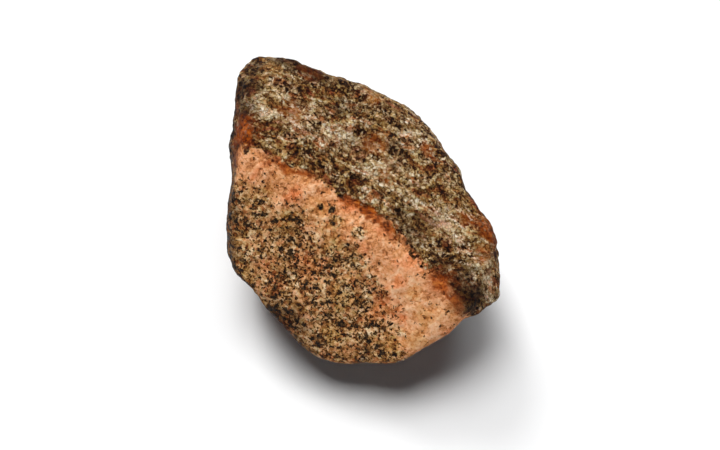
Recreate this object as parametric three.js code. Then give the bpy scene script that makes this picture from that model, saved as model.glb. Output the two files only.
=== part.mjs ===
// A rough stone: a hand-sized lump of pink granite with a crust of grey gneiss, broken along flat joints
// and then worn a little. Millimetres, +Z up. The stone rests on its foot at z = 0, with the origin under
// the middle of its bounding box.
import * as THREE from 'three';
import { mergeVertices } from 'three/addons/utils/BufferGeometryUtils.js';
import { ImprovedNoise } from 'three/addons/math/ImprovedNoise.js';

const HEART_HEIGHT = 29.0; // the heart, the point that every facet is measured from, above the foot
const EDGE_WEAR = 1.8; // how far the broken edges are rounded off
const EDGE_WANDER = 0.045; // how far a facet's edges stray from straight, as a share of their distance
const WANDER_LENGTH = 26; // distance between two bends of an edge
const WANDER_REACH = 40; // the stone's mean radius, where that distance is measured
const WANDER_SEEDS = [1.3, 5.9, 9.4];
const GRAZING = 0.02; // a break met at a flatter angle than this is never the nearest one
const RELAXING_PASSES = 12; // how often the triangles are evened out over the skin
const EDGE_PULL = 12; // how strongly an edge gathers triangles
const MESH_DETAIL = 21; // cuts along each edge of the icosahedron that the skin is stretched from
const SAME_POINT = 1e-5; // corners of the unit ball closer than this are one vertex

// Flat breaks. Bearing is in degrees anticlockwise from +X seen from above, slope in degrees above the
// horizon, and both give the way the break faces. Reach is its distance from the heart.
const FACETS = [
  { name: 'pink face', bearing: 251, slope: 46, reach: 25.6 },
  { name: 'grey face', bearing: 344, slope: 76, reach: 22.6 },
  { name: 'grey shoulder', bearing: 17, slope: 60, reach: 28.6 },
  { name: 'dark corner', bearing: 333, slope: 32, reach: 48.0 },
  { name: 'rusty nick', bearing: 194, slope: 36, reach: 44.0 },
  { name: 'knob front', bearing: 135, slope: 55, reach: 52.0 },
  { name: 'knob top', bearing: 96, slope: 30, reach: 54.5 },
  { name: 'knob corner', bearing: 147, slope: 16, reach: 57.8 },
  { name: 'upper left flank', bearing: 170, slope: 11, reach: 48.4 },
  { name: 'left flank', bearing: 182, slope: 6, reach: 41.2 },
  { name: 'lower left flank', bearing: 217, slope: -21, reach: 40.9 },
  { name: 'toe', bearing: 268, slope: -30, reach: 48.6 },
  { name: 'lower right flank', bearing: 315, slope: -44, reach: 38.6 },
  { name: 'right flank', bearing: 6, slope: 3, reach: 45.2 },
  { name: 'right shoulder', bearing: 28, slope: 20, reach: 36.6 },
  { name: 'upper right shoulder', bearing: 63, slope: 26, reach: 39.5 },
  { name: 'back', bearing: 94, slope: -11, reach: 46.5 },
  { name: 'back left', bearing: 150, slope: -29, reach: 39.0 },
  { name: 'back right', bearing: 40, slope: -27, reach: 35.0 },
  { name: 'front underside', bearing: 215, slope: -57, reach: 37.0 },
];

// Corners knocked off by a blow: each is a small flat that faces straight out from the heart and takes
// the given depth off what was there.
const CHIPS = [
  { name: 'back right corner', bearing: 68, slope: -14, depth: 2.0 },
  { name: 'back left corner', bearing: 122, slope: -22, depth: 2.4 },
  { name: 'knob chin', bearing: 163, slope: -16, depth: 1.6 },
  { name: 'right hip', bearing: 24, slope: -22, depth: 1.4 },
  { name: 'heel', bearing: 92, slope: -34, depth: 2.2 },
  { name: 'left heel', bearing: 186, slope: -27, depth: 1.6 },
  { name: 'right keel', bearing: 352, slope: -33, depth: 1.6 },
  { name: 'front keel', bearing: 262, slope: -58, depth: 1.0 },
  { name: 'back keel', bearing: 100, slope: -52, depth: 1.5 },
  { name: 'front edge', bearing: 301, slope: 1, depth: 0.6 },
  { name: 'front edge by the toe', bearing: 284, slope: -6, depth: 0.1 },
];

// Shallow hollows, and swellings where the depth is negative. Each has faded to a third of its depth at
// its radius.
const HOLLOWS = [
  { name: 'rusty nick', bearing: 154, slope: 34, radius: 5.5, depth: 1.4 },
  { name: 'tip of the knob', bearing: 131, slope: 27, radius: 7, depth: -2.3 },
  { name: 'notch in the right edge', bearing: 5, slope: 14, radius: 4.5, depth: 0.8 },
  { name: 'swelling of the right edge', bearing: 351, slope: 10, radius: 7, depth: -1.4 },
  { name: 'bite beside the right corner', bearing: 314, slope: 2, radius: 6, depth: 1.9 },
  { name: 'beak of the right corner', bearing: 327, slope: 2, radius: 5.5, depth: -2.0 },
  { name: 'lower left hollow', bearing: 216, slope: -26, radius: 12, depth: 0.9 },
  { name: 'swelling of the front edge', bearing: 286, slope: -5, radius: 8, depth: -1.7 },
  { name: 'hollow beside the toe', bearing: 259, slope: -18, radius: 5.5, depth: 1.0 },
  { name: 'waist of the left flank', bearing: 178, slope: 2, radius: 7, depth: 1.1 },
  { name: 'back of the knob', bearing: 109, slope: 20, radius: 6.5, depth: 1.0 },
  { name: 'start of the valley', bearing: 104, slope: 34, radius: 6, depth: 0.8 },
  { name: 'middle of the valley', bearing: 94, slope: 46, radius: 5.5, depth: 0.8 },
  { name: 'end of the valley', bearing: 62, slope: 54, radius: 6, depth: 0.9 },
  { name: 'dark hollow in the crust', bearing: 324, slope: 39, radius: 6, depth: 0.8 },
  { name: 'swelling of the crust', bearing: 10, slope: 55, radius: 10, depth: -0.8 },
  { name: 'back scoop', bearing: 98, slope: -6, radius: 16, depth: 2.4 },
  { name: 'back right scoop', bearing: 45, slope: -30, radius: 12, depth: 1.8 },
  { name: 'back left scoop', bearing: 152, slope: -34, radius: 13, depth: 2.0 },
];

// Swells of the whole skin, from broad to fine.
const RELIEF = [
  { height: 1.2, length: 24, seed: 3.7 },
  { height: 0.8, length: 11, seed: 7.7 },
  { height: 0.4, length: 5.5, seed: 12.3 },
];

const RAD = Math.PI / 180;

// The unit vector that a bearing and a slope point along.
function facing({ bearing, slope }) {
  const level = Math.cos(slope * RAD);
  return new THREE.Vector3(
    level * Math.cos(bearing * RAD),
    level * Math.sin(bearing * RAD),
    Math.sin(slope * RAD),
  );
}

// Distance from the heart to the rounded meeting of some flat breaks, along one direction.
function brokenRadius(direction, breaks) {
  const distances = [];
  for (const { normal, reach } of breaks) {
    const lean = normal.dot(direction);
    if (lean > GRAZING) distances.push(reach / lean);
  }
  const nearest = Math.min(...distances);
  const crowding = distances.reduce((sum, d) => sum + Math.exp((nearest - d) / EDGE_WEAR), 0);
  return nearest - EDGE_WEAR * Math.log(crowding);
}

const faces = FACETS.map((facet) => ({ normal: facing(facet), reach: facet.reach }));

const chips = CHIPS.map((chip) => {
  const normal = facing(chip);
  return { normal, reach: brokenRadius(normal, faces) - chip.depth };
});

const breaks = [...faces, ...chips];

const hollows = HOLLOWS.map((hollow) => {
  const direction = facing(hollow);
  const centre = direction.clone().multiplyScalar(brokenRadius(direction, breaks));
  return { centre, radius: hollow.radius, depth: hollow.depth };
});

const perlin = new ImprovedNoise();

// Smooth noise from -1 to 1 at a point, with bumps about one length apart.
function swell(point, length, seed) {
  return perlin.noise(point.x / length + seed, point.y / length, point.z / length - seed);
}

// A direction bent a little, so that the edges between breaks wander.
function strayed(direction) {
  const near = direction.clone().multiplyScalar(WANDER_REACH);
  const [right, back, up] = WANDER_SEEDS.map((seed) => swell(near, WANDER_LENGTH, seed));
  return new THREE.Vector3(right, back, up).multiplyScalar(EDGE_WANDER).add(direction).normalize();
}

// Distance from the heart to the skin.
function skinRadius(direction) {
  let radius = brokenRadius(strayed(direction), breaks);
  const point = direction.clone().multiplyScalar(radius);
  for (const { centre, radius: spread, depth } of hollows) {
    radius -= depth * Math.exp(-((point.distanceTo(centre) / spread) ** 2));
  }
  for (const { height, length, seed } of RELIEF) radius += height * swell(point, length, seed);
  return radius;
}

// Moves a point along its own direction out to the skin, or to the foot where that comes first.
function stretch(point) {
  point.normalize();
  point.multiplyScalar(skinRadius(point));
  if (point.z < -HEART_HEIGHT) point.multiplyScalar(HEART_HEIGHT / -point.z).setZ(-HEART_HEIGHT);
}

// For each vertex, the vertices that share an edge with it.
function neighboursOf(mesh) {
  const near = Array.from({ length: mesh.getAttribute('position').count }, () => new Set());
  const corners = mesh.index.array;
  for (let i = 0; i < corners.length; i += 3) {
    const [a, b, c] = corners.slice(i, i + 3);
    near[a].add(b).add(c);
    near[b].add(c).add(a);
    near[c].add(a).add(b);
  }
  return near;
}

// One three-number attribute of a mesh as a list of vectors.
function verticesOf(mesh, attribute) {
  const values = mesh.getAttribute(attribute);
  return Array.from({ length: values.count }, (_, i) => new THREE.Vector3().fromBufferAttribute(values, i));
}

// Puts a mesh's vertices at the given points.
function moveTo(mesh, points) {
  const position = mesh.getAttribute('position');
  points.forEach((point, i) => position.setXYZ(i, point.x, point.y, point.z));
  mesh.computeVertexNormals();
}

// The middle of a vertex's neighbours, drawn towards those across an edge, so that small triangles
// gather along the edges and large ones stay on the flats.
function drawnMiddle(i, near, points, normals) {
  const middle = new THREE.Vector3();
  let total = 0;
  for (const j of near) {
    const pull = 1 + EDGE_PULL * (1 - normals[i].dot(normals[j]));
    middle.addScaledVector(points[j], pull);
    total += pull;
  }
  return middle.divideScalar(total);
}

// A ball of even triangles stretched out to the skin, ground flat at the foot, and centred over the origin.
function stoneGeometry() {
  const ball = new THREE.IcosahedronGeometry(1, MESH_DETAIL);
  ball.deleteAttribute('normal');
  ball.deleteAttribute('uv');
  const skin = mergeVertices(ball, SAME_POINT);
  const neighbours = neighboursOf(skin);
  let points = verticesOf(skin, 'position');
  points.forEach(stretch);
  for (let pass = 0; pass < RELAXING_PASSES; pass++) {
    moveTo(skin, points);
    const normals = verticesOf(skin, 'normal');
    points = points.map((_, i) => drawnMiddle(i, neighbours[i], points, normals));
    points.forEach(stretch);
  }
  moveTo(skin, points);
  skin.computeBoundingBox();
  const middle = skin.boundingBox.getCenter(new THREE.Vector3());
  skin.translate(-middle.x, -middle.y, HEART_HEIGHT);
  return skin;
}

const graniteGneiss = new THREE.MeshStandardMaterial({ color: 0x9c7558, roughness: 0.85, metalness: 0 });

const rock = new THREE.Mesh(stoneGeometry(), graniteGneiss);
rock.name = 'rough_rock';

const stone = new THREE.Group();
stone.add(rock);

export default stone;
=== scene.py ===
# A rough, hand-sized stone of pink granite with a crust of grey gneiss, on a plain pale floor.
# The imported solid gives the broken faces, edges, chips and hollows. This script gives the skin: the grain,
# the crust that stands proud of the granite, the iron rust, and soil with painted shade on flanks, rims and
# underside.
import math
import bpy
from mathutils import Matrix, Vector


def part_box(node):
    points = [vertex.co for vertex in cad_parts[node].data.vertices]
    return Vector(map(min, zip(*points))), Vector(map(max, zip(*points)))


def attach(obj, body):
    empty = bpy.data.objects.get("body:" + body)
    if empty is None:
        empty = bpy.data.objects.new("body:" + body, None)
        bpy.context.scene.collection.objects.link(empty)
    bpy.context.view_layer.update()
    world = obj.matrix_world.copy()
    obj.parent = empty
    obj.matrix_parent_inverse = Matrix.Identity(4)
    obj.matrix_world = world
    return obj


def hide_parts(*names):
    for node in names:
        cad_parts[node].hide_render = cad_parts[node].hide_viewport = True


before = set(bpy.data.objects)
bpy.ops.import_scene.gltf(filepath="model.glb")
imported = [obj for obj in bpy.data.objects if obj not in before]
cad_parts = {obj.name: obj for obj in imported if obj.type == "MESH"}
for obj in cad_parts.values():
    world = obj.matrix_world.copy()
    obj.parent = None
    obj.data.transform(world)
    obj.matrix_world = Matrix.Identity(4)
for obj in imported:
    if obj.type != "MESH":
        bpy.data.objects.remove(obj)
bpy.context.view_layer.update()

from types import SimpleNamespace

import bmesh
import bpy
from mathutils import Vector, noise

MM = 0.001  # metres in a millimetre

STONE_LOW, STONE_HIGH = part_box("rough_rock")


# ---------- where things are on the stone ----------

def place(across, along, up):
    """A point in millimetres, from its shares of the stone's width, length and height."""
    share = (across, along, up)
    return Vector([(STONE_LOW[i] + share[i] * (STONE_HIGH[i] - STONE_LOW[i])) / MM for i in range(3)])


def ease(start, end, value):
    """0 at start, 1 at end, with a smooth change between them. Start may be the larger."""
    t = min(1.0, max(0.0, (value - start) / (end - start)))
    return t * t * (3 - 2 * t)


def swell(point, length, seed=0.0):
    """Smooth noise from about -1 to 1, with bumps about one length apart."""
    return noise.noise(point / length + Vector((seed, -seed, seed * 0.5)))


# The gneiss meets the granite on one upright sheet, bowed a little. The ridge between the faces lies in it.
CONTACT_POINT = place(0.49, 0.44, 0.84)
CONTACT_NORMAL = Vector((0.561, 0.828, 0.0))  # towards the gneiss
CONTACT_RUN = Vector((CONTACT_NORMAL.y, -CONTACT_NORMAL.x, 0.0))  # along the ridge, to the front right
CONTACT_BOW = 6.4  # millimetres that the sheet swings back at each end
HALF_RUN = 43.0  # millimetres from the middle of the ridge to its end
FLANK_TOP, FLANK_FOOT = 42, 15  # heights in millimetres between which the contact starts to stray
FLANK_STRAY = 7.0  # millimetres that it strays on the flanks

# The gneiss is banded across this direction.
BANDING = Vector((0.42, 0.83, 0.37)).normalized()

# Bands in the gneiss: millimetres from the contact, half the width, how pale (above 0) or dark (below 0).
GNEISS_BANDS = [
    (1.0, 4.0, -0.6),
    (7.5, 3.0, -0.35),
    (13.0, 5.0, 0.5),
    (18.5, 3.5, 0.3),
    (24.0, 4.5, -0.6),
    (30.0, 4.0, -0.5),
    (37.0, 5.0, 0.5),
]

# Lengths of the ridge where iron has rusted the granite: from and to, in millimetres along it.
RUSTY_LENGTHS = [(-31.0, -16.5), (-6.5, 15.0), (30.0, 44.0)]
RUST_FADE = 3  # millimetres over which each length fades in and out
RUST_DEPTH = 1.5  # millimetres from the contact to the middle of the seam, in the granite
RUST_HALF_WIDTH = 2.1  # millimetres from there to the seam's edge

# Where iron has rusted elsewhere: place, radius in millimetres, strength.
RUST_STAINS = [
    (place(0.06, 0.67, 0.95), 7.0, 1.0),
    (place(0.03, 0.61, 0.85), 5.0, 0.8),
    (place(0.24, 0.75, 0.95), 5.0, 0.4),
    (place(0.31, 0.92, 0.91), 5.0, 0.55),
    (place(0.54, 0.67, 0.83), 4.5, 0.5),
    (place(0.54, 0.84, 0.84), 3.5, 0.35),
    (place(0.58, 0.55, 0.81), 3.0, 0.4),
    (place(0.74, 0.68, 0.76), 3.5, 0.4),
    (place(0.88, 0.43, 0.68), 3.5, 0.45),
    (place(0.97, 0.41, 0.62), 6.5, 0.75),
    (place(0.94, 0.31, 0.66), 4.0, 0.4),
    (place(0.79, 0.19, 0.70), 6.5, 0.5),
    (place(0.84, 0.14, 0.67), 3.5, 0.5),
    (place(0.38, 0.93, 0.45), 9.0, 0.6),
    (place(0.70, 0.81, 0.30), 8.0, 0.5),
]

# Where soil and dark mica blacken the surface, with painted shade on the corner at the front right: place,
# radius in millimetres, strength.
DARK_STAINS_AND_SHADE = [
    (place(0.69, 0.39, 0.76), 7.0, 0.5),
    # These two paint the shade on the front right corner, which turns from the light.
    (place(0.89, 0.16, 0.65), 7.0, 1.0),
    (place(0.86, 0.21, 0.69), 5.5, 0.8),
    (place(0.78, 0.25, 0.72), 4.5, 0.5),
    (place(0.50, 0.68, 0.86), 4.5, 0.3),
    (place(0.43, 0.78, 0.87), 4.0, 0.35),
    (place(0.63, 0.65, 0.80), 4.0, 0.35),
    (place(0.08, 0.83, 0.95), 6.0, 0.9),
    (place(0.07, 0.75, 0.97), 5.0, 0.8),
    (place(0.11, 0.91, 0.93), 4.5, 0.75),
    (place(0.24, 0.96, 0.93), 8.0, 0.85),
    (place(0.34, 0.94, 0.89), 8.5, 0.85),
    (place(0.44, 0.92, 0.85), 6.0, 0.5),
]

# Where feldspar makes the surface pale: place, radius in millimetres, strength.
PALE_PATCHES = [
    (place(0.67, 0.14, 0.62), 14.0, 1.0),
    (place(0.70, 0.06, 0.52), 9.0, 0.7),
    (place(0.21, 0.89, 0.97), 4.0, 0.5),
    (place(0.32, 0.81, 0.93), 4.5, 0.7),
    (place(0.26, 0.72, 0.95), 6.0, 0.45),
    (place(0.43, 0.67, 0.88), 6.0, 0.8),
    (place(0.62, 0.61, 0.80), 5.5, 0.7),
    (place(0.80, 0.40, 0.72), 6.5, 0.9),
    (place(0.93, 0.26, 0.66), 5.5, 0.75),
    (place(0.56, 0.63, 0.83), 9.0, 0.6),
]

# Where the granite is smooth and almost free of mica: place, radius in millimetres, strength.
CLEAN_PATCHES = [
    (place(0.77, 0.08, 0.53), 15.0, 1.0),
    (place(0.66, 0.19, 0.70), 12.0, 0.9),
]

# Single big grains of black mica on the granite: place, radius in millimetres.
MICA_KNOTS = [
    (place(0.08, 0.60, 0.97), 1.2),
    (place(0.24, 0.56, 0.93), 1.1),
    (place(0.35, 0.43, 0.84), 0.85),
    (place(0.39, 0.42, 0.84), 1.0),
    (place(0.42, 0.49, 0.87), 0.95),
    (place(0.42, 0.47, 0.86), 0.9),
]

# Where mica gathers in the pale strip beside the contact: place, radius in millimetres, strength.
MICA_CLUSTERS = [
    (place(0.49, 0.35, 0.80), 2.6, 0.3),
    (place(0.40, 0.38, 0.83), 2.8, 0.3),
]

# Shares of black mica in the granite.
SPARSE_MICA = 0.015  # in the pale strip beside the contact
PEPPERED_MICA = 0.14  # away from the contact
CLUSTERED_MICA = 0.2  # on top of that, where it clusters
CONTACT_MICA = 0.22  # in patches right at the contact
# on the rim: mica, raised partly as painted shade where the surface turns away
RIM_MICA_AND_SHADE = 0.4
CLEAN_LACK = 0.06  # below none, so that not even a stray grain shows where the granite is clean
PEPPER_START, PEPPER_FULL = 6, 17  # millimetres from the contact between which the mica sets in

FRESH_UNSHADED_SIDE = Vector((0.6, -0.8, 0.0))  # the side of the newest break, still clean; flanks turned from it are darker, partly soil and partly painted shade
RIM_WIDTH = 6.0  # millimetres of the granite, along its left and its far edge, that are darkened: dirt, and painted shade where the surface turns away
FAR_GRANITE = 37.5  # millimetres from the contact to the far edge of the granite face


def along_ridge(point):
    """Millimetres along the ridge from its middle, above 0 towards the front right."""
    return (point - CONTACT_POINT).dot(CONTACT_RUN)


def contact_depth(point):
    """Millimetres from the ragged contact: above 0 in the gneiss, below 0 in the granite."""
    bow = CONTACT_BOW * (along_ridge(point) / HALF_RUN) ** 2
    straight = (point - CONTACT_POINT).dot(CONTACT_NORMAL)
    ragged = 1.8 * swell(point, 13, 2.0) + 1.1 * swell(point, 4.0, 5.0) + 0.9 * swell(point, 1.7, 6.0)
    flanks = FLANK_STRAY * ease(FLANK_TOP, FLANK_FOOT, point.z) * swell(point, 19, 3.0)
    return straight + bow + ragged + flanks


def strongest(point, patches):
    """How strongly some ragged patches cover a point, from 0 to 1."""
    ragged = 0.32 * swell(point, 3.2, 8.0) + 0.2 * swell(point, 1.4, 9.0)
    return max(
        strength * ease(1.25, 0.45, (point - centre).length / radius + ragged)
        for centre, radius, strength in patches
    )


def rim(point, depth):
    """How near a point is to the granite's left edge or its far edge, from 0 to 1, with a ragged border. It
    darkens those rims: partly dirt, partly painted shade where the surface turns away.
    """
    ragged = 1.5 * swell(point, 4.0, 19.0) + 0.8 * swell(point, 1.5, 20.0)
    left = ease(RIM_WIDTH, 0.8, point.x - STONE_LOW.x / MM + ragged)
    far = ease(FAR_GRANITE - RIM_WIDTH, FAR_GRANITE, -depth + ragged)
    return max(left, far * ease(12, -4, along_ridge(point)))


def mica_share(point, depth):
    """The share of black mica in the granite: few grains beside the contact, more away from it and at its
    rim, where the dark mica is partly painted shade."""
    away = ease(PEPPER_START, PEPPER_FULL, -depth + 3.5 * swell(point, 9, 11.0))
    clustered = ease(-0.5, 0.5, swell(point, 6, 14.0) + 0.4 * swell(point, 2.6, 15.0))
    clean = strongest(point, CLEAN_PATCHES)
    share = SPARSE_MICA + away * (PEPPERED_MICA + CLUSTERED_MICA * clustered)
    share = (1 - clean) * share - CLEAN_LACK * clean
    share += CONTACT_MICA * ease(-4, 0, depth) * ease(-0.1, 0.35, swell(point, 4, 16.0))
    share = max(share, RIM_MICA_AND_SHADE * rim(point, depth), strongest(point, MICA_CLUSTERS))
    knot = min((point - centre).length / radius for centre, radius in MICA_KNOTS) + 0.3 * swell(point, 1.3)
    return max(share, 1.1 * ease(1.5, 0.4, knot))


def rustiness(point, depth):
    """How much iron rust stains a point: a ragged seam on the granite side of the ridge, and patches."""
    run = along_ridge(point) + 2.0 * swell(point, 5, 40.0)
    lengths = max(
        ease(start - RUST_FADE, start + RUST_FADE, run) * ease(end + RUST_FADE, end - RUST_FADE, run)
        for start, end in RUSTY_LENGTHS
    )
    from_middle = depth + RUST_DEPTH + 1.4 * swell(point, 5, 43.0) + 1.2 * swell(point, 1.8, 44.0)
    seam = ease(RUST_HALF_WIDTH, 0.5, abs(from_middle))
    return max(seam * lengths, strongest(point, RUST_STAINS))


def paleness(point, depth):
    """How much paler (above 0) or darker (below 0) than usual the gneiss is."""
    bands = sum(
        pale * ease(half, 0, abs(depth + 1.5 * swell(point, 7, 46.0) - middle))
        for middle, half, pale in GNEISS_BANDS
    )
    return bands + strongest(point, PALE_PATCHES)


def soil_and_painted_shade(point, normal, depth):
    """How dark a point is with soil and a dark rind, and partly with painted shade: on steep flanks away
    from the newest break, underneath, on rims and in patches.
    """
    upward = normal.z + 0.25 * swell(point, 5, 17.0)
    # Steep flanks: soil, and painted shade where they turn from the light.
    steep = ease(0.62, 0.05, upward)
    weathered_and_shaded = ease(0.75, -0.1, normal.dot(FRESH_UNSHADED_SIDE))
    # Underneath: soil, and painted shade that also darkens the shadow cast on the floor.
    beneath = 0.85 * ease(0.0, -0.4, upward)
    return max(strongest(point, DARK_STAINS_AND_SHADE), steep * (0.15 + 0.75 * weathered_and_shaded), beneath, 0.8 * rim(point, depth))


# ---------- the skin as a mesh ----------

SAME_POINT = 0.005 * MM
FOOT_HEIGHT = 0.02  # millimetres: everything lower lies in the flat foot
EASINGS = (0.5, 0.5)  # how strongly the skin is eased after each time it is cut finer
CRUST_STEP = 0.7  # millimetres that the broken rim of the gneiss stands proud of the granite
STEP_FULL, STEP_GONE = 3.0, 11.0  # millimetres from the contact between which that step dies away
GRANITE_LIFT = 0.15  # millimetres that make good what easing takes off the granite's edges
SHARP_MINGLING = 0.8  # millimetres over which granite turns to gneiss at the back left of the ridge
SOFT_MINGLING = 2.5  # and at its front right
LAYERS = ("gneiss", "mica", "pale", "rust", "soil_and_shade")  # what the mesh tells the material, vertex by vertex


def fine_mesh(solid):
    """A copy of the solid with each triangle cut in sixteen and the flats between them eased."""
    skin = bmesh.new()
    skin.from_mesh(solid.data)
    bmesh.ops.remove_doubles(skin, verts=skin.verts, dist=SAME_POINT)
    for strength in EASINGS:
        bmesh.ops.subdivide_edges(skin, edges=skin.edges, cuts=1, use_grid_fill=True)
        free = [v for v in skin.verts if v.co.z > FOOT_HEIGHT * MM]
        bmesh.ops.smooth_vert(
            skin, verts=free, factor=strength, use_axis_x=True, use_axis_y=True, use_axis_z=True
        )
    return skin


def gneiss_relief(point):
    """Millimetres of height on the gneiss: worn bands, lumps of some grains, pits where mica fell out."""
    across = BANDING * point.dot(BANDING)
    bands = noise.noise(across / 2.4 + (point - across) / 8.0)
    lumps = swell(point, 4.5, 21.0)
    grains = swell(point, 1.5, 24.0)
    pits = ease(0.2, 0.55, swell(point, 2.4, 27.0))
    return 0.42 * bands + 0.65 * lumps + 0.34 * grains - 0.6 * pits


def granite_relief(point, depth):
    """Millimetres of height on the granite: a clean break with low ripples and the grain just felt, which
    grows rough and pitted away from the contact, where the mica has weathered out."""
    rough = ease(PEPPER_START, PEPPER_FULL, -depth)
    ripples = swell(point, 6.0, 31.0)
    grains = swell(point, 1.4, 34.0)
    pits = ease(0.15, 0.5, swell(point, 2.2, 37.0))
    return 0.2 * ripples + 0.1 * grains + rough * (0.2 * grains + 0.25 * ripples - 0.4 * pits + 0.08)


def roughened(skin):
    """Moves the skin by its relief, and stores on each vertex what the stone is made of there."""
    layers = {layer: skin.verts.layers.float.new(layer) for layer in LAYERS}
    skin.normal_update()
    moves = []
    for vertex in skin.verts:
        point = vertex.co / MM
        depth = contact_depth(point)
        mingling = SHARP_MINGLING + (SOFT_MINGLING - SHARP_MINGLING) * ease(4, 22, along_ridge(point))
        gneiss = ease(-mingling, mingling, depth)
        relief = gneiss * gneiss_relief(point) + (1 - gneiss) * granite_relief(point, depth)
        step = CRUST_STEP * (ease(-0.9, 0.9, depth) - 0.5) * ease(STEP_GONE, STEP_FULL, abs(depth))
        step += GRANITE_LIFT * (1 - gneiss)
        vertex[layers["gneiss"]] = gneiss
        vertex[layers["mica"]] = mica_share(point, depth)
        vertex[layers["pale"]] = paleness(point, depth)
        vertex[layers["rust"]] = rustiness(point, depth)
        vertex[layers["soil_and_shade"]] = soil_and_painted_shade(point, vertex.normal, depth)
        moves.append(vertex.normal * (relief + step) * MM)
    for vertex, move in zip(skin.verts, moves):
        if vertex.co.z > FOOT_HEIGHT * MM:
            vertex.co += move
            vertex.co.z = max(vertex.co.z, FOOT_HEIGHT * MM)
    for vertex in skin.verts:
        for axis in range(3):
            vertex.co[axis] = min(STONE_HIGH[axis], max(STONE_LOW[axis], vertex.co[axis]))


def stone_piece():
    """The whole stone as one piece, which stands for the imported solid."""
    skin = fine_mesh(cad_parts["rough_rock"])
    roughened(skin)
    mesh = bpy.data.meshes.new("stone_skin")
    skin.to_mesh(mesh)
    skin.free()
    mesh.shade_smooth()
    stone = bpy.data.objects.new("stone", mesh)
    bpy.context.scene.collection.objects.link(stone)
    return stone


# ---------- materials ----------

# Sizes of the stone's patterns, in millimetres.
COARSE_GRAIN = 1.1
FINE_GRAIN = 0.6
TREMBLE, TREMBLE_SWING = 0.8, 1.3  # from one kink in a grain's outline to the next, and how far it kinks
MICA_CLUMP = 1.7  # from one clump of mica to the next
MOTTLE = 2.8  # from a light blotch of the granite to a dark one
FLUSH = 11.0  # from a tan flush of the feldspar to a salmon one
FOLD, FOLD_SWING = 16.0, 14.0  # from one fold of the gneiss to the next, and how far it folds
BAND_LENGTH, BAND_WIDTH = 9.0, 3.6  # of one streak in the gneiss
GRAIN_BUMP = 1.2  # height that the grain's light and dark stand for
MICA_THRESHOLD = 0.325  # the clumps' noise lies below this almost nowhere, so granite with no mica is clean


def linear(hex_colour):
    """An sRGB hex colour as the linear colour that Blender works in."""
    channels = [int(hex_colour[i:i + 2], 16) / 255 for i in (0, 2, 4)]
    return [c / 12.92 if c <= 0.04045 else ((c + 0.055) / 1.055) ** 2.4 for c in channels] + [1.0]


def add(tree, kind, feeds=None, stops=None, **settings):
    """Adds a node, sets it, and feeds its sockets with values, or with other nodes or their outputs."""
    node = tree.nodes.new(kind)
    for name, value in settings.items():
        setattr(node, name, value)
    if stops:
        ramp = node.color_ramp.elements
        while len(ramp) < len(stops):
            ramp.new(0.5)
        for element, (position, colour) in zip(ramp, stops):
            element.position = position
            element.color = linear(colour)
    for name, value in (feeds or {}).items():
        socket = node.inputs[name] if isinstance(name, int) else next(
            s for s in node.inputs if s.name == name and s.enabled
        )
        if isinstance(value, bpy.types.Node):
            value = next(s for s in value.outputs if s.enabled)
        if isinstance(value, bpy.types.NodeSocket):
            tree.links.new(value, socket)
        else:
            socket.default_value = value
    return node


def read_grains(tree):
    """Where a point lies in millimetres, and what the grains around it are like."""
    metres = add(tree, "ShaderNodeTexCoord").outputs["Object"]
    millimetres = add(tree, "ShaderNodeMapping", {"Vector": metres, "Scale": (1 / MM,) * 3})

    # Grain outlines are never straight: the grains are read through this small tremble.
    tremble = add(tree, "ShaderNodeTexNoise", {"Vector": millimetres, "Scale": 1 / TREMBLE, "Detail": 2.0})
    shaken = add(tree, "ShaderNodeVectorMath", {0: tremble.outputs["Color"], 1: (0.5, 0.5, 0.5)},
                 operation="SUBTRACT")
    jagged = add(tree, "ShaderNodeVectorMath", {0: shaken, 1: (TREMBLE_SWING,) * 3, 2: millimetres},
                 operation="MULTIPLY_ADD")
    coarse = add(tree, "ShaderNodeTexVoronoi", {"Vector": jagged, "Scale": 1 / COARSE_GRAIN})
    coarse_pick = add(tree, "ShaderNodeSeparateColor", {"Color": coarse.outputs["Color"]})
    fine = add(tree, "ShaderNodeTexVoronoi", {"Vector": jagged, "Scale": 1 / FINE_GRAIN})
    fine_pick = add(tree, "ShaderNodeSeparateColor", {"Color": fine.outputs["Color"]})

    # No two grains have quite the same colour: some are olive, some rusty.
    tint = add(tree, "ShaderNodeValToRGB", {"Fac": coarse_pick.outputs["Blue"]}, stops=[
        (0.0, "b0b48c"), (0.14, "e0dcb8"), (0.28, "ffffff"), (0.74, "ffffff"), (0.86, "eaa878"),
        (1.0, "c07648")
    ])
    return SimpleNamespace(
        millimetres=millimetres,
        jagged=jagged,
        coarse=coarse_pick.outputs,
        fine=fine_pick.outputs,
        tint=tint,
    )


def granite_light(tree, grains, pale):
    """How light the granite is, grain by grain and in soft blotches."""
    mottle = add(tree, "ShaderNodeTexNoise",
                 {"Vector": grains.millimetres, "Scale": 1 / MOTTLE, "Detail": 4.0, "Roughness": 0.72})
    light = add(tree, "ShaderNodeMath", {0: grains.coarse["Red"], 1: 0.18, 2: mottle},
                operation="MULTIPLY_ADD")
    light = add(tree, "ShaderNodeMath", {0: grains.fine["Red"], 1: 0.16, 2: light},
                operation="MULTIPLY_ADD")
    return add(tree, "ShaderNodeMath", {0: pale, 1: 0.07, 2: light}, operation="MULTIPLY_ADD")


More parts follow.
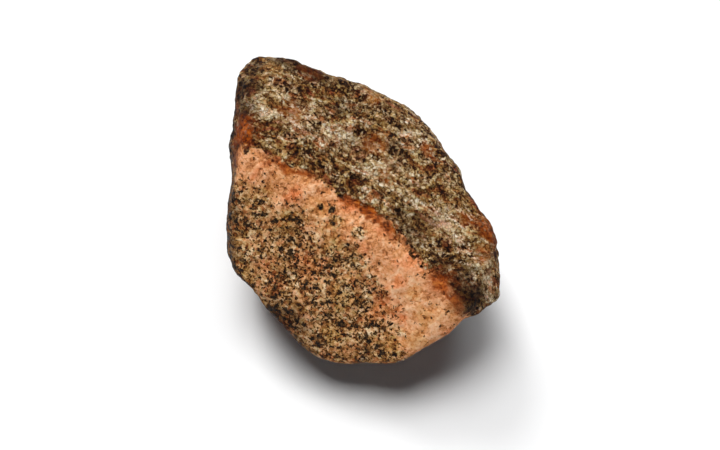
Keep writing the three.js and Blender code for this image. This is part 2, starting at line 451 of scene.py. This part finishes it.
def feldspar_colour(tree, grains, mica, light):
    """Feldspar grains: pink where the granite is clean, tan where mica peppers it."""
    pink = add(tree, "ShaderNodeValToRGB", {"Fac": light}, stops=[
        (0.46, "9a5a34"), (0.57, "d08752"), (0.66, "e9a16b"), (0.75, "f6b585"), (0.88, "ffcca0")
    ])
    tan = add(tree, "ShaderNodeValToRGB", {"Fac": light}, stops=[
        (0.46, "6a401e"), (0.57, "a97442"), (0.66, "d09d67"), (0.75, "e5bb89"), (0.88, "f7ddb6")
    ])
    peppered = add(tree, "ShaderNodeMapRange", {"Value": mica, "From Min": 0.05, "From Max": 0.2})
    feldspar = add(tree, "ShaderNodeMix", {"Factor": peppered, "A": pink, "B": tan}, data_type="RGBA")
    flushes = add(tree, "ShaderNodeTexNoise",
                  {"Vector": grains.millimetres, "Scale": 1 / FLUSH, "Detail": 3.0})
    flush = add(tree, "ShaderNodeValToRGB", {"Fac": flushes}, stops=[
        (0.36, "f4ecc8"), (0.47, "ffffff"), (0.55, "ffffff"), (0.66, "ffc8a6")
    ])
    feldspar = add(tree, "ShaderNodeMix", {"Factor": 0.75, "A": feldspar, "B": flush},
                   data_type="RGBA", blend_type="MULTIPLY")
    tinting = add(tree, "ShaderNodeMapRange", {"Value": peppered, "To Min": 0.15, "To Max": 0.6})
    return add(tree, "ShaderNodeMix", {"Factor": tinting, "A": feldspar, "B": grains.tint},
               data_type="RGBA", blend_type="MULTIPLY")


def mica_reach(tree, grains, mica):
    """How far inside a clump of mica a point lies: above 0 is mica, just below 0 is its stained halo."""
    blotch = add(tree, "ShaderNodeTexNoise",
                 {"Vector": grains.jagged, "Scale": 1 / MICA_CLUMP, "Detail": 2.5, "Roughness": 0.6})
    reach = add(tree, "ShaderNodeMath", {0: mica, 1: 0.39, 2: MICA_THRESHOLD}, operation="MULTIPLY_ADD")
    return add(tree, "ShaderNodeMath", {0: reach, 1: blotch}, operation="SUBTRACT")


def granite_colour(tree, grains, mica, feldspar, reach, mica_cover):
    """Feldspar with clumps of black mica, each in a stained halo, and fine dark dust between them."""
    halo = add(tree, "ShaderNodeMapRange",
               {"Value": reach, "From Min": -0.075, "From Max": -0.01, "To Max": 0.75})
    granite = add(tree, "ShaderNodeMix", {"Factor": halo, "A": feldspar, "B": linear("b08e5c")},
                  data_type="RGBA", blend_type="MULTIPLY")
    black = add(tree, "ShaderNodeValToRGB", {"Fac": grains.fine["Green"]}, stops=[
        (0.0, "120a03"), (0.5, "261707"), (0.8, "442e17"), (1.0, "6a4f30")
    ])
    granite = add(tree, "ShaderNodeMix", {"Factor": mica_cover, "A": granite, "B": black},
                  data_type="RGBA")
    dust = add(tree, "ShaderNodeMath", {0: mica, 1: 0.8}, operation="MULTIPLY")
    is_dust = add(tree, "ShaderNodeMath", {0: grains.fine["Green"], 1: dust}, operation="LESS_THAN")
    return add(tree, "ShaderNodeMix", {"Factor": is_dust, "A": granite, "B": linear("6e6044")},
               data_type="RGBA", blend_type="MULTIPLY")


def folded_bands(tree, grains):
    """The place of a point among the gneiss's bands, a few millimetres wide, which were folded while hot."""
    folds = add(tree, "ShaderNodeTexNoise",
                {"Vector": grains.millimetres, "Scale": 1 / FOLD, "Detail": 1.0})
    fold = add(tree, "ShaderNodeVectorMath", {0: folds.outputs["Color"], 1: (0.5, 0.5, 0.5)},
               operation="SUBTRACT")
    folded = add(tree, "ShaderNodeVectorMath", {0: fold, 1: (FOLD_SWING,) * 3, 2: grains.jagged},
                 operation="MULTIPLY_ADD")
    return add(tree, "ShaderNodeMapping", {
        "Vector": folded,
        "Rotation": BANDING.to_track_quat("Z", "Y").to_euler(),
        "Scale": (BAND_LENGTH, BAND_LENGTH, BAND_WIDTH),
    }, vector_type="TEXTURE")


def gneiss_light(tree, grains, banded, pale):
    """How light the gneiss is: by band and by grain."""
    bands = add(tree, "ShaderNodeTexNoise",
                {"Vector": banded, "Scale": 1.0, "Detail": 4.0, "Roughness": 0.75, "Distortion": 0.7})
    light = add(tree, "ShaderNodeMath", {0: pale, 1: 0.08, 2: bands}, operation="MULTIPLY_ADD")
    light = add(tree, "ShaderNodeMath", {0: grains.coarse["Green"], 1: 0.26, 2: light},
                operation="MULTIPLY_ADD")
    return add(tree, "ShaderNodeMath", {0: grains.fine["Blue"], 1: 0.24, 2: light},
               operation="MULTIPLY_ADD")


def gneiss_colour(tree, grains, banded, pale, light):
    """Grey-brown grains from black mica to white feldspar, with painted shade in the crevices between them,
    and bands that are rusty or olive."""
    grey = add(tree, "ShaderNodeValToRGB", {"Fac": light}, stops=[
        (0.54, "210e02"), (0.615, "4b2d13"), (0.68, "7a5734"), (0.74, "a3815a"), (0.80, "c2a57c"),
        (0.865, "dac29d"), (0.95, "f2e5d0")
    ])
    # Painted shade: the crevices between the grains are darkened, down to half.
    crevice_edges = add(tree, "ShaderNodeTexVoronoi", {"Vector": grains.jagged, "Scale": 1 / COARSE_GRAIN},
                   feature="DISTANCE_TO_EDGE")
    crevice_shade = add(tree, "ShaderNodeMapRange", {"Value": crevice_edges, "From Max": 0.16, "To Min": 0.5})
    grey = add(tree, "ShaderNodeMix", {"Factor": 1.0, "A": grey, "B": crevice_shade},
               data_type="RGBA", blend_type="MULTIPLY")
    grey = add(tree, "ShaderNodeMix", {"Factor": 0.4, "A": grey, "B": grains.tint},
               data_type="RGBA", blend_type="MULTIPLY")
    hues = add(tree, "ShaderNodeTexNoise",
               {"Vector": banded, "Scale": 1.15, "Detail": 3.0, "Roughness": 0.65, "W": 5.0},
               noise_dimensions="4D")
    hue = add(tree, "ShaderNodeValToRGB", {"Fac": hues}, stops=[
        (0.35, "b8602c"), (0.42, "c0904c"), (0.47, "d4c088"), (0.51, "f2ead4"), (0.57, "ffffff"),
        (0.62, "e4a870"), (0.68, "c07038")
    ])
    hue_cover = add(tree, "ShaderNodeMapRange",
                    {"Value": pale, "From Min": 0.2, "From Max": 1.0, "To Min": 0.9, "To Max": 0.6})
    return add(tree, "ShaderNodeMix", {"Factor": hue_cover, "A": grey, "B": hue},
               data_type="RGBA", blend_type="MULTIPLY")


def stained_colour(tree, rock, light, rust, soil_and_shade):
    """The rock's colour under iron rust, and then under soil and painted shade."""
    rust_tone = add(tree, "ShaderNodeValToRGB", {"Fac": light}, stops=[
        (0.48, "3a1402"), (0.60, "7e3204"), (0.72, "a64a08"), (0.88, "c87020")
    ])
    rust_cover = add(tree, "ShaderNodeMath", {0: rust, 1: 0.9}, operation="MULTIPLY")
    rock = add(tree, "ShaderNodeMix", {"Factor": rust_cover, "A": rock, "B": rust_tone}, data_type="RGBA")
    # Soil and painted shade: a dark brown multiplied in on rims, flanks and underside.
    soil_and_shade_cover = add(tree, "ShaderNodeMath", {0: soil_and_shade, 1: 0.95}, operation="MULTIPLY")
    return add(tree, "ShaderNodeMix", {"Factor": soil_and_shade_cover, "A": rock, "B": linear("645038")},
               data_type="RGBA", blend_type="MULTIPLY")


def stone_material():
    """Migmatite: granite and gneiss grown together, broken by a blow and weathered outdoors. The eye sees
    separate grains, pink feldspar, smoky quartz and black mica, matt where the weather has etched them."""
    material = bpy.data.materials.new("migmatite, broken and weathered")
    material.use_nodes = True
    tree = material.node_tree
    tree.nodes.clear()
    gneiss, mica, pale, rust, soil_and_shade = (
        add(tree, "ShaderNodeAttribute", attribute_name=layer).outputs["Fac"] for layer in LAYERS
    )
    grains = read_grains(tree)

    light = granite_light(tree, grains, pale)
    feldspar = feldspar_colour(tree, grains, mica, light)
    reach = mica_reach(tree, grains, mica)
    mica_cover = add(tree, "ShaderNodeMapRange", {"Value": reach, "From Min": -0.025, "From Max": 0.02})
    granite = granite_colour(tree, grains, mica, feldspar, reach, mica_cover)

    banded = folded_bands(tree, grains)
    grey_light = gneiss_light(tree, grains, banded, pale)
    grey = gneiss_colour(tree, grains, banded, pale, grey_light)

    # Grains of both kinds interlock along the contact.
    interlocked = add(tree, "ShaderNodeMath", {0: grains.coarse["Red"], 1: 0.8, 2: gneiss},
                      operation="MULTIPLY_ADD")
    is_gneiss = add(tree, "ShaderNodeMapRange", {"Value": interlocked, "From Min": 0.8, "From Max": 1.0})
    rock = add(tree, "ShaderNodeMix", {"Factor": is_gneiss, "A": granite, "B": grey}, data_type="RGBA")
    rock = stained_colour(tree, rock, light, rust, soil_and_shade)

    height = add(tree, "ShaderNodeMix", {"Factor": is_gneiss, "A": light, "B": grey_light})
    bump = add(tree, "ShaderNodeBump", {"Strength": 1.0, "Distance": GRAIN_BUMP * MM, "Height": height})
    gloss = add(tree, "ShaderNodeMapRange", {"Value": mica_cover, "To Min": 0.8, "To Max": 0.5})
    shader = add(tree, "ShaderNodeBsdfPrincipled", {
        "Base Color": rock, "Roughness": gloss, "IOR": 1.53, "Specular IOR Level": 0.1, "Normal": bump
    })
    add(tree, "ShaderNodeOutputMaterial", {"Surface": shader})
    return material


def floor_material():
    """Matt white card: an even pale ground with no gloss."""
    material = bpy.data.materials.new("white card, matt")
    material.use_nodes = True
    tree = material.node_tree
    tree.nodes.clear()
    shader = add(tree, "ShaderNodeBsdfPrincipled", {
        "Base Color": linear("f4f4f4"), "Roughness": 0.9, "Specular IOR Level": 0.1
    })
    add(tree, "ShaderNodeOutputMaterial", {"Surface": shader})
    return material


# ---------- studio ----------

FLOOR_RADIUS = 6.0  # metres
CAMERA_RISE = math.radians(66)
LENS = 85.0
SENSOR = 36.0
VIEW_WIDTH = 237.6 * MM  # how much the camera sees from left to right, at the stone's distance
AIM_LEFT, AIM_BELOW = 0.9 * MM, 3.3 * MM  # how far from the stone's middle it aims, so the shadow has room


def build_floor():
    """A round table top, wide enough to reach the edge of every view."""
    disc = bmesh.new()
    bmesh.ops.create_circle(disc, cap_ends=True, radius=FLOOR_RADIUS, segments=64)
    mesh = bpy.data.meshes.new("floor")
    disc.to_mesh(mesh)
    disc.free()
    floor = bpy.data.objects.new("floor", mesh)
    bpy.context.scene.collection.objects.link(floor)
    mesh.materials.append(floor_material())


# Soft lights: name, the way towards it, strength, how wide it looks in degrees.
LIGHTS = [
    ("softbox_behind", (-0.12, 0.32, 1.0), 2.4, 32),
    ("softbox_behind_right", (0.37, 0.47, 1.0), 0.52, 22),
    ("window_behind_left", (-0.50, 0.95, 1.0), 1.45, 20),
    ("reflector_front_left", (-2.6, -3.0, 0.7), 0.5, 14),
]


def build_lights():
    for name, way, strength, width in LIGHTS:
        lamp = bpy.data.lights.new(name, "SUN")
        lamp.energy = strength
        lamp.angle = math.radians(width)
        holder = bpy.data.objects.new(name, lamp)
        holder.rotation_euler = (-Vector(way)).to_track_quat("-Z", "Y").to_euler()
        bpy.context.scene.collection.objects.link(holder)


def build_room():
    """A pale room: white walls round the table and a dim ceiling."""
    room = bpy.data.worlds.new("pale_room")
    room.use_nodes = True
    tree = room.node_tree
    tree.nodes.clear()
    direction = add(tree, "ShaderNodeTexCoord").outputs["Generated"]
    height = add(tree, "ShaderNodeSeparateXYZ", {"Vector": direction}).outputs["Z"]
    shade = add(tree, "ShaderNodeValToRGB", {"Fac": height}, stops=[(0.10, "fafafa"), (0.14, "101720")])
    glow = add(tree, "ShaderNodeBackground", {"Color": shade, "Strength": 1.0})
    add(tree, "ShaderNodeOutputWorld", {"Surface": glow})
    bpy.context.scene.world = room
    bpy.context.scene.view_settings.view_transform = "Standard"


def build_camera():
    """A camera in front of the stone that looks down on it steeply."""
    lens = bpy.data.cameras.new("camera")
    lens.lens = LENS
    lens.sensor_width = SENSOR
    back = Vector((0, -math.cos(CAMERA_RISE), math.sin(CAMERA_RISE)))
    view_up = Vector((0, math.sin(CAMERA_RISE), math.cos(CAMERA_RISE)))
    aim = (STONE_LOW + STONE_HIGH) / 2 - Vector((AIM_LEFT, 0, 0)) - view_up * AIM_BELOW
    camera = bpy.data.objects.new("camera", lens)
    camera.location = aim + back * VIEW_WIDTH * LENS / SENSOR
    camera.rotation_euler = (-back).to_track_quat("-Z", "Y").to_euler()
    bpy.context.scene.collection.objects.link(camera)
    bpy.context.scene.camera = camera


stone = stone_piece()
stone.data.materials.append(stone_material())
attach(stone, "root")
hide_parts("rough_rock")
build_floor()
build_lights()
build_room()
build_camera()
